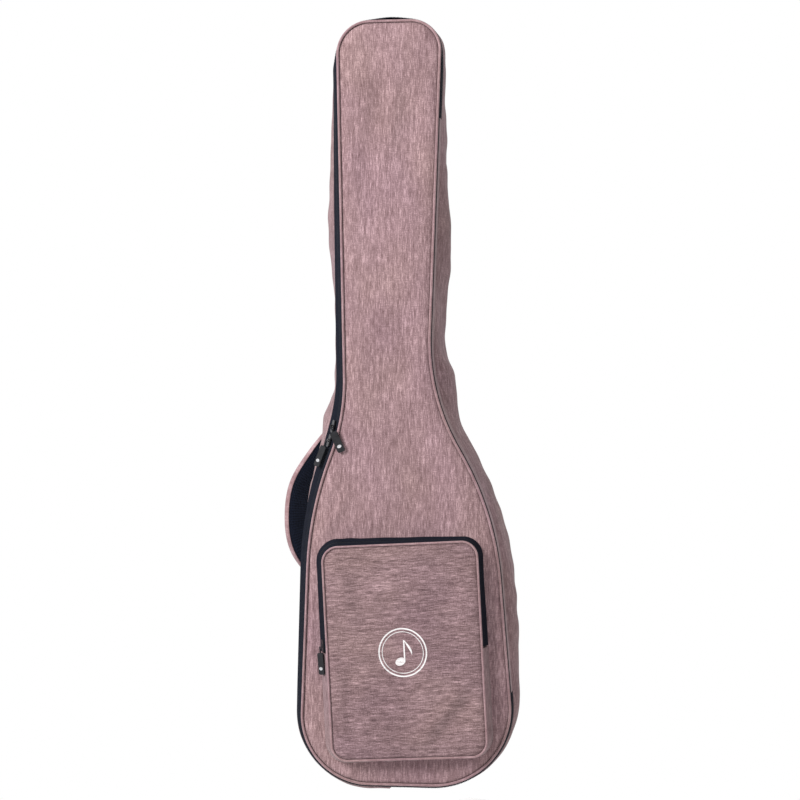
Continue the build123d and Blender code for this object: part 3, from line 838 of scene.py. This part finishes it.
def make_pocket_sides():
    upper, lower = pocket_span(POCKET, True), pocket_span(POCKET, False)
    flare = smooth(-POCKET.points[:, 1] / 60.0)
    puckers = waves(POCKET.along, np.zeros(POCKET.count), 34.0, 71)
    rows = []
    for t in np.linspace(0, 1, 8):
        y = POCKET_FRONT + 2.2 + (POCKET_BASE - POCKET_FRONT - 2.2) * t
        bulge = math.sin(math.pi * t)
        rows.append((y, pocket_line(POCKET, y) + flare * bulge * (1.5 + 0.7 * puckers), 0.0))
    inner = [(y, grow - 2.0, fill) for y, grow, fill in rows[::-1]]
    # the pocket's side wall takes the darker heather copy: painted shade
    facts = (["gusset_heather_painted_shade", "lining"], "lid", "heather_fabric", lower, pocket_place)
    wall = ring("pocket_side_wall", POCKET, rows + inner, *facts, inner=len(rows) - 1)
    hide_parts("pocket_gusset")
    for half, y0, y1, body in (
        ("front", POCKET_FRONT + 2.4, POCKET_COIL - 1.8, "pocket_flap"),
        ("rear", POCKET_COIL + 1.8, POCKET_BASE, "lid"),
    ):
        rows = band_rows(POCKET, pocket_line, y0, y1)
        facts = ("tape", body, "zip_tape", upper, pocket_place)
        tape = ring(f"pocket_zip_{half}_band", POCKET, rows, *facts)
        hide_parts(f"pocket_zip_{half}_tape")
    fine = pocket_span(POCKET_FINE, True)
    face = pocket_line(POCKET_FINE, POCKET_COIL) - 0.3
    for half, y0, y1, body in (
        ("front", POCKET_COIL - 1.7, POCKET_COIL - 0.15, "pocket_flap"),
        ("rear", POCKET_COIL + 0.15, POCKET_COIL + 1.7, "lid"),
    ):
        rows = teeth(POCKET_FINE, y0, y1, face, face + 1.25)
        facts = ("coil", body, "zip_coil", fine, pocket_place)
        coil = ring(f"pocket_zip_{half}_teeth", POCKET_FINE, rows, *facts)
        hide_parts(f"pocket_zip_{half}_coil")


# ---- emblem: a plain quaver in two rings ------------------------------------------------
EMBLEM_AT = (-2.0, -1.0)
PRINT_THICKNESS = 0.35


def printed(name, left, right, closed=False):
    """A printed band between two edges on the pocket's front, sunk a little into the cloth."""
    left = np.asarray(left, float) + EMBLEM_AT
    right = np.asarray(right, float) + EMBLEM_AT
    spots = np.concatenate([left, right, right, left])
    count = len(left)
    face = POCKET_FRONT - pocket_puff(*spots.T, POCKET.distance(spots))
    lift = np.repeat([PRINT_THICKNESS, PRINT_THICKNESS, -0.4, -0.4], count)
    points = pocket_place(np.stack([spots[:, 0], face - lift, spots[:, 1]], axis=1))
    weave = np.stack([spots[:, 1], spots[:, 0], np.zeros(len(spots))], axis=1)
    faces = sweep_faces(4, count, closed)
    bend_pocket(make_piece(name, points, faces, "ink", None, "heather_fabric", weave))


def circle(radius, count=96, squeeze=1.0, lean=0.0, at=(0.0, 0.0)):
    """A circle, or an ellipse that leans."""
    turns = np.linspace(0, 2 * math.pi, count, endpoint=False)
    x, z = radius * np.cos(turns), radius * squeeze * np.sin(turns)
    cos, sin = math.cos(lean), math.sin(lean)
    return np.stack([at[0] + x * cos - z * sin, at[1] + x * sin + z * cos], axis=1)


def make_emblem():
    printed("emblem_outer_ring", circle(38.0), circle(35.8), True)
    printed("emblem_inner_ring", circle(32.6), circle(31.6), True)
    head = (40, 0.72, 0.4, (-4.5, -14.0))
    printed("emblem_note_head", circle(8.2, *head), circle(0.4, *head), True)
    heights = np.linspace(-12.5, 19.0, 12)
    left = np.stack([np.full(12, 1.3), heights], axis=1)
    right = np.stack([np.full(12, 3.4), heights], axis=1)
    printed("emblem_note_stem", left, right)
    t = np.linspace(0, 1, 14)
    x = 3.0 + 11.5 * np.sin(t * 1.75)
    z = 19.0 - 22.0 * t
    width = 0.8 + 4.6 * np.sin(math.pi * (1 - t) ** 0.8) ** 0.9 * (1 - 0.35 * t)
    upper = np.stack([x, z], axis=1)
    lower = np.stack([x - 0.25 * width, z - width], axis=1)
    printed("emblem_note_flag", upper, lower)


# ---- straps, webbing and patches --------------------------------------------------------
def spline(stations, steps):
    """Smooth run through stations (Catmull-Rom), as rows of numbers."""
    rows = np.asarray(stations, float)
    padded = np.concatenate([[2 * rows[0] - rows[1]], rows, [2 * rows[-1] - rows[-2]]])
    result = []
    for i in range(len(rows) - 1):
        a, b, c, d = padded[i : i + 4]
        for t in np.linspace(0, 1, steps, endpoint=False):
            curve = 2 * b + (c - a) * t + (2 * a - 5 * b + 4 * c - d) * t**2
            result.append(0.5 * (curve + (3 * b - a - 3 * c + d) * t**3))
    result.append(rows[-1])
    return np.array(result)


def strap_frames(path):
    """Centre, width direction and outward direction along a strap's path."""
    centre = path[:, :3]
    along = np.gradient(centre, axis=0)
    along /= np.linalg.norm(along, axis=1)[:, None]
    turn = np.radians(path[:, 3])
    width = np.stack([np.cos(turn), np.sin(turn), np.zeros(len(path))], axis=1)
    width -= along * np.sum(width * along, axis=1)[:, None]
    width /= np.linalg.norm(width, axis=1)[:, None]
    return centre, width, np.cross(width, along)


def along_line(points):
    """Distance run along a line at each of its points."""
    gaps = np.linalg.norm(np.diff(points, axis=0), axis=1)
    return np.concatenate(([0.0], np.cumsum(gaps)))


def strip(name, path, profile, mats, body, slot, ends=1.0):
    """A closed (across, through) profile swept along a path of x, y, z and turn."""
    centre, width, normal = strap_frames(path)
    count = len(path)
    along = along_line(centre)
    edge = np.minimum(along, along[-1] - along)
    taper = 1.0 - (1.0 - ends) * (1 - smooth(edge / 9.0))
    points, weave = [], []
    for across, through in profile:
        lift = np.broadcast_to(np.asarray(through, float), count) * taper
        side = np.broadcast_to(np.asarray(across, float), count)
        points.append(centre + width * side[:, None] + normal * lift[:, None])
        weave.append(np.stack([side, along, lift], axis=1))
    faces = sweep_faces(len(profile), count, False)
    return make_piece(name, np.concatenate(points), faces, mats, body, slot, np.concatenate(weave))


def stitches(name, points, normals, mat, body, pitch=4.2, long=2.7, radius=0.42):
    """A row of short raised stitches along a line; normals point out of the cloth."""
    points = np.asarray(points, float)
    normals = np.asarray(normals, float)
    along = along_line(points)
    rings = ((0.0, 0.35, -0.1), (0.3, 1.0, 0.25), (0.7, 1.0, 0.25), (1.0, 0.35, -0.1))
    spots, faces = [], []
    for start in np.arange(pitch / 2, along[-1] - long, pitch):
        tail = np.array([np.interp(start, along, axis) for axis in points.T])
        span = np.array([np.interp(start + long, along, axis) for axis in points.T]) - tail
        up = np.array([np.interp(start, along, axis) for axis in normals.T])
        side = np.cross(span / np.linalg.norm(span), up)
        first = len(spots)
        for t, size, lift in rings:
            middle = tail + span * t + up * lift
            for turn in (0.0, 1.57, 3.14, 4.71):
                spots.append(middle + radius * size * (side * math.cos(turn) + up * math.sin(turn)))
        for r in range(3):
            for k in range(4):
                a, b = first + r * 4 + k, first + r * 4 + (k + 1) % 4
                faces.append((a, b, b + 4, a + 4))
        faces.append([first + 3, first + 2, first + 1, first])
        faces.append([first + 12, first + 13, first + 14, first + 15])
    weave = np.asarray(spots)[:, (0, 2, 1)]
    return make_piece(name, spots, faces, mat, body, None, weave)


def make_strap(side, stations, anchor):
    """Padded strap: cover, air mesh, bound and stitched edges, and its webbing tail."""
    body = f"{side}_strap"
    path = spline(stations, 9)
    half = STRAP_HALF
    bend = np.linspace(0, math.pi, 13)
    pillow = [(half * math.cos(t), 1.0 + 5.4 * math.sin(t) ** 0.55) for t in bend]
    inside = [(a, -3.7) for a in (-half + 1, -half / 2, 0.0, half / 2, half - 1)]
    outer = strip(f"{body}_cover", path, pillow + inside, "heather", body, "heather_fabric", 0.75)
    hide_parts(f"{body}_outer", f"{body}_foam")
    count = len(path)
    dimple = 0.25 * waves(np.arange(count) * 9.0, np.zeros(count), 60.0, 7)
    places = np.linspace(half - 0.5, -half + 0.5, 11)
    cushion = [(a, -3.9 - (1.8 + dimple) * (1 - (a / half) ** 4)) for a in places]
    back = [(a, -3.8) for a in (-half + 1, 0.0, half - 1)]
    lining = strip(f"{body}_air_mesh", path, cushion + back, "mesh", body, "air_mesh", 0.9)
    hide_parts(f"{body}_mesh")
    turns = np.linspace(0, 2 * math.pi, 14, endpoint=False)
    for way, hand in ((-1, "inner"), (1, "outer")):
        wrap = [(way * (half + 0.1) + 1.7 * math.cos(t), 5.2 * math.sin(t) - 0.3) for t in turns]
        edge = strip(f"{body}_{hand}_edge", path, wrap, "piping", body, "strap_binding", 0.9)
        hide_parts(f"{body}_binding")
    centre, width, normal = strap_frames(path)
    for way, hand in ((-1, "inner"), (1, "outer")):
        line = centre + width * way * (half - 4.0) + normal * 4.6
        stitches(f"{body}_{hand}_stitches", line[2:-2], normal[2:-2], "rose_thread", body)
    make_tail(body, stations[-1], anchor)


def make_tail(body, end, anchor):
    """Webbing from a strap's lower end down to its anchor."""
    x, z = anchor
    route = [
        (end[0], 58.0, end[2] - 3.0, 0),
        (end[0], 58.5, end[2] - 16.0, 0),
        ((end[0] + x) / 2, 55.0, (end[2] + z) / 2 + 14, 0),
        (x, 53.0, z + 26.0, 0),
    ]
    tail = spline(route, 7)
    flat_web = [(-12.5, 0.2), (-12.2, 1.8), (12.2, 1.8), (12.5, 0.2), (12.2, 0.0), (-12.2, 0.0)]
    piece = strip(f"{body}_tail", tail, flat_web, "webbing", body, "webbing")
    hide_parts(f"{body}_webbing")


def soft_block(name, corners, y0, y1, bevel, mats, slot):
    """A patch or pad on the shell: an outline of (x, z) corners between two depths, with its
    edges rounded over."""
    mesh = bmesh.new()
    low = [mesh.verts.new(row([(x, y0, z)])[0]) for x, z in corners]
    high = [mesh.verts.new(row([(x, y1, z)])[0]) for x, z in corners]
    mesh.faces.new(low)
    mesh.faces.new(high[::-1])
    count = len(corners)
    for i in range(count):
        n = (i + 1) % count
        mesh.faces.new((low[i], high[i], high[n], low[n]))
    bmesh.ops.recalc_face_normals(mesh, faces=mesh.faces)
    rounding = dict(segments=4, profile=0.6, affect="EDGES", clamp_overlap=True)
    bmesh.ops.bevel(mesh, geom=mesh.edges[:], offset=bevel * 0.001, **rounding)
    data = bpy.data.meshes.new(name)
    mesh.to_mesh(data)
    mesh.free()
    data.materials.append(MATS[mats])
    spots = np.empty(len(data.vertices) * 3)
    data.vertices.foreach_get("co", spots)
    return show(name, data, spots.reshape(-1, 3)[:, (0, 2, 1)], 50.0, "shell", slot)


def box_corners(x0, x1, z0, z1):
    return [(x0, z0), (x1, z0), (x1, z1), (x0, z1)]


def stitch_loop(name, corners, y, mat, inset):
    """Stitches just inside a patch's outline, on its outer face."""
    middle = np.mean(corners, axis=0)
    loop = []
    for corner in list(corners) + [corners[0]]:
        arm = np.asarray(corner) - middle
        x, z = middle + arm * (1 - inset * 1.3 / np.linalg.norm(arm))
        loop.append(np.array((x, y, z)))
    dense = []
    for a, b in zip(loop, loop[1:]):
        for t in np.linspace(0, 1, 12, endpoint=False):
            dense.append(a * (1 - t) + b * t)
    dense.append(loop[-1])
    stitches(name, dense, np.tile((0.0, 1.0, 0.0), (len(dense), 1)), mat, "shell")


def make_patch(name, node, corners, height, bevel, mats, slot):
    """A flat patch sewn to the back, standing for a CAD node."""
    patch = soft_block(name, corners, PATCH_Y, PATCH_Y + height, bevel, mats, slot)
    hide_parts(node)
    return patch


def make_back_fittings():
    cloth = ("heather", "heather_fabric")
    corners = box_corners(-70, 70, 700.5, 752)
    yoke = make_patch("yoke_patch", "strap_yoke", corners, 5.0, 2.2, *cloth)
    stitch_loop("yoke_stitches", corners, PATCH_Y + 5.1, "rose_thread", 5.0)
    for side, (x, z) in (("left", LEFT_ANCHOR), ("right", RIGHT_ANCHOR)):
        corners = [(x - 24, z - 22), (x + 24, z - 22), (x + 14, z + 25), (x - 14, z + 25)]
        make_patch(f"{side}_anchor_tab", "strap_anchor_tabs", corners, 3.1, 1.2, *cloth)
        stitch_loop(f"{side}_anchor_stitches", corners, PATCH_Y + 3.2, "rose_thread", 3.5)
    cloth = ("webbing", "webbing")
    for hand, z in (("low", 785.0), ("high", 945.0)):
        corners = box_corners(-19, 19, z - 13, z + 13)
        make_patch(f"handle_{hand}_patch", "handle_anchor_patches", corners, 2.0, 0.8, *cloth)
        stitch_loop(f"handle_{hand}_stitches", corners, PATCH_Y + 2.1, "thread", 2.5)
    make_grip()


def make_grip():
    """Padded wrap round the handle: a rounded sleeve with soft ridges, closed in at its ends."""
    count = 25
    z = np.linspace(GRIP_LOW, GRIP_TOP, count)
    t = (2 * z - GRIP_LOW - GRIP_TOP) / (GRIP_TOP - GRIP_LOW)
    turns = np.linspace(0, 2 * math.pi, 28, endpoint=False)
    end = np.sqrt(np.clip(1 - np.abs(t) ** 8, 0.12, 1))
    ridges = 1 + 0.025 * np.cos(t * math.pi * 9)
    points, weave = [], []
    for turn in turns:
        cos, sin = math.cos(turn), math.sin(turn)
        x = 18.6 * math.copysign(abs(cos) ** 0.6, cos) * end * ridges
        y = 83.0 + 6.3 * math.copysign(abs(sin) ** 0.7, sin) * end * ridges
        points.append(np.stack([x, y, z], axis=1))
        weave.append(np.stack([np.full(count, turn * 15), z, np.zeros(count)], axis=1))
    mesh = (np.concatenate(points), sweep_faces(len(turns), count, False))
    facts = ("grip", "shell", "handle_grip", np.concatenate(weave))
    grip = make_piece("handle_grip_wrap", *mesh, *facts, sharp=50)
    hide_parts("carry_handle_grip")


def make_inside():
    """Neck cradle, a block with a rounded notch, and the end pad, both in lining cloth."""
    back, middle, reach = LINING_BACK, -5.0, 28.0
    turns = np.linspace(math.pi - 0.15, 0.15, 18)
    notch = [(middle + reach * math.cos(t), back - 30 + reach * math.sin(t)) for t in turns]
    outline = [(-52, back), (-52, 10.0)] + notch + [(42, 10.0), (42, back)]
    mesh_points, faces = [], []
    levels = np.linspace(650, 720, 9)
    count = len(outline)
    for i, z in enumerate(levels):
        soft = 1.0 if 0 < i < 8 else 0.97
        mesh_points += [(middle + (x - middle) * soft, back - (back - y) * soft, z) for x, y in outline]
    for i in range(8):
        for j in range(count):
            n = (j + 1) % count
            faces.append((i * count + j, i * count + n, (i + 1) * count + n, (i + 1) * count + j))
    faces.append(list(range(count)))
    faces.append([8 * count + j for j in range(count)][::-1])
    weave = np.asarray(mesh_points)[:, (0, 2, 1)]
    cradle = make_piece("cradle_block", mesh_points, faces, "lining", "shell", "lining", weave)
    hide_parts("neck_cradle")
    corners = box_corners(-60, 98, 30, 52)
    pad = soft_block("end_pad_block", corners, -28, back, 7.0, "lining", "lining")
    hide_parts("end_pad")


# ---- carried-over nodes -----------------------------------------------------------------
KEPT = {
    "metal": ["upper_slider", "lower_slider", "pocket_slider"],
    "rubber": ["upper_pull_tab", "lower_pull_tab", "pocket_pull_tab"],
    "dot": ["upper_pull_dot", "lower_pull_dot", "pocket_pull_dot"],
    "plastic": ["left_strap_buckle", "right_strap_buckle"],
    "webbing_kept": ["hang_loop", "carry_handle_webbing"],
    "heather_kept": ["hang_loop_patch"],
}


def dress_kept():
    """Materials for the CAD nodes that stay in sight."""
    for mat, nodes in KEPT.items():
        for node in nodes:
            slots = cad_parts[node].data.materials
            slots.clear()
            slots.append(MATS[mat])


# ---- camera, light and stage ------------------------------------------------------------
LENS = 86.7
CAMERA_DISTANCE = 3.0
FLOOR_R = 0.24
HANG_GAP = 0.07          # the bag hangs from its loop, this far above the floor


def add_camera():
    data = bpy.data.cameras.new("camera")
    data.sensor_width = 36.0
    data.lens = LENS
    camera = add_object("camera", data)
    target = Vector((0.017, -0.09, -0.579))
    yaw = math.radians(7.0)
    camera.location = target + Vector((math.sin(yaw), -math.cos(yaw), 0.0)) * CAMERA_DISTANCE
    camera.rotation_euler = (target - camera.location).to_track_quat("-Z", "Y").to_euler()
    bpy.context.scene.camera = camera


def add_area(name, at, target, size, power):
    data = bpy.data.lights.new(name, "AREA")
    data.size = size
    data.energy = power
    lamp = add_object(name, data)
    lamp.location = at
    lamp.rotation_euler = (Vector(target) - Vector(at)).to_track_quat("-Z", "Y").to_euler()


def add_stage():
    scene = bpy.context.scene
    scene.view_settings.view_transform = "Standard"
    world = bpy.data.worlds.new("studio")
    world.use_nodes = True
    sky = world.node_tree.nodes["Background"].inputs
    sky["Color"].default_value = (1.0, 1.0, 1.0, 1.0)
    sky["Strength"].default_value = 1.0
    scene.world = world
    add_area("key", (-2.2, -2.3, 0.8), (0.0, 0.0, -0.6), 1.4, 158.0)
    lowest = CAD_BOUNDS[0][2] - HANG_GAP
    mesh = bpy.data.meshes.new("floor")
    turns = np.linspace(0, 2 * math.pi, 48, endpoint=False)
    edge = [(FLOOR_R * math.cos(t), FLOOR_R * math.sin(t), lowest) for t in turns]
    mesh.from_pydata(edge, [], [range(48)])
    g = Graph("floor_paper", (0.95, 0.95, 0.95), roughness=0.95, specular=0.1)
    g.bump(g.noise(g.place(kept=True), 90.0, 3.0), 0.0002, 0.3)
    mesh.materials.append(g.mat)
    add_object("floor", mesh)


make_panels()
make_gussets()
make_main_zip()
make_pocket_front()
make_pocket_sides()
make_emblem()
make_strap("left", LEFT_STRAP, LEFT_ANCHOR)
make_strap("right", RIGHT_STRAP, RIGHT_ANCHOR)
make_back_fittings()
make_inside()
dress_kept()
add_camera()
add_stage()
